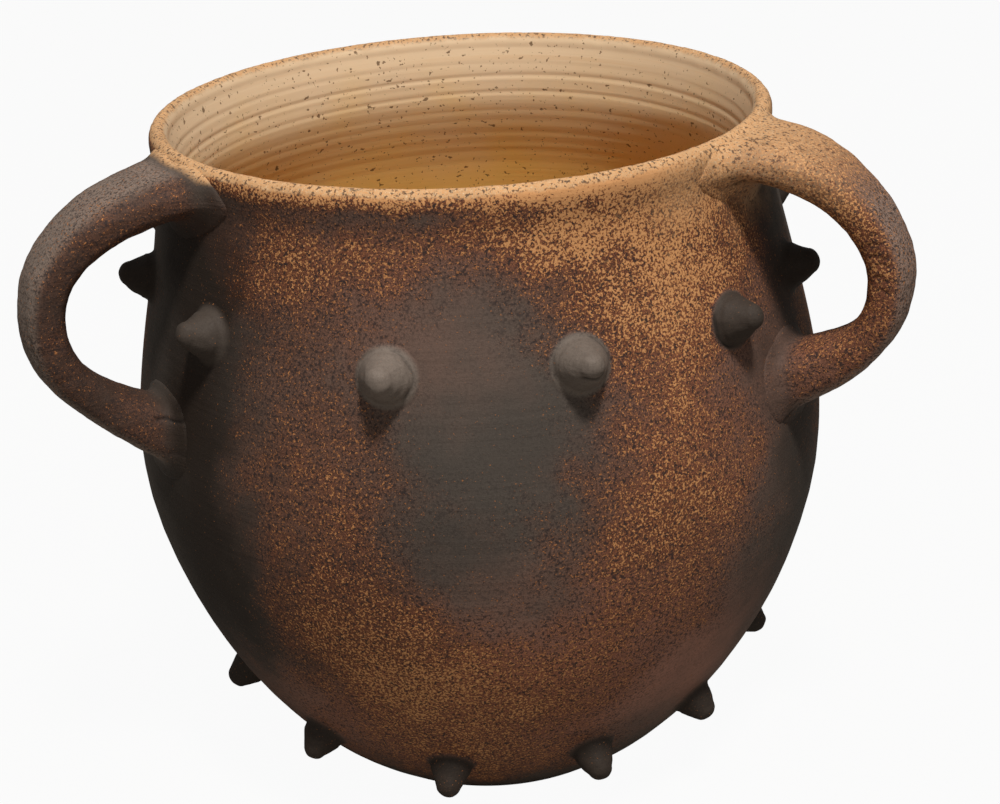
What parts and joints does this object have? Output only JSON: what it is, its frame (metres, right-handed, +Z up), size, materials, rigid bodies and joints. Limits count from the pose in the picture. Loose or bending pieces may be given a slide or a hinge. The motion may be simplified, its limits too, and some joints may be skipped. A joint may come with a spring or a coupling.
{
  "type": "clay cauldron",
  "caption": "Round-bellied thrown stoneware cauldron with an open glazed mouth, strap handles from lip to shoulder, and a row of blunt studs round the shoulder and another near the foot.",
  "frame": {"origin": "centre of the flat foot, on the ground", "axes": "+Z up along the axis on which the pot was thrown, +X to the right, and the side between the handles, the front, towards -Y"},
  "size_m": [0.3404, 0.3, 0.292],
  "materials": {
    "speckled_clay": "unglazed stoneware, dark slip broken by rust-orange speckle; the inside has a cream glaze",
    "left_strap": "unglazed, dark brown slip with fine rust specks",
    "right_strap": "unglazed, orange-tan clay with dark specks",
    "upper_stud": "unglazed, matt dark slip",
    "lower_stud": "unglazed, matt near-black slip"
  },
  "bodies": {
    "root": {"pot_body": "speckled_clay", "handle_left": "left_strap", "handle_right": "right_strap", "stud_upper_1": "upper_stud", "stud_upper_2": "upper_stud", "stud_upper_3": "upper_stud", "stud_upper_4": "upper_stud", "stud_upper_5": "upper_stud", "stud_upper_6": "upper_stud", "stud_upper_7": "upper_stud", "stud_upper_8": "upper_stud", "stud_upper_9": "upper_stud", "stud_upper_10": "upper_stud", "stud_upper_11": "upper_stud", "stud_upper_12": "upper_stud", "stud_lower_1": "lower_stud", "stud_lower_2": "lower_stud", "stud_lower_3": "lower_stud", "stud_lower_4": "lower_stud", "stud_lower_5": "lower_stud", "stud_lower_6": "lower_stud", "stud_lower_7": "lower_stud", "stud_lower_8": "lower_stud", "stud_lower_9": "lower_stud", "stud_lower_10": "lower_stud", "stud_lower_11": "lower_stud", "stud_lower_12": "lower_stud"}
  },
  "joints": []
}
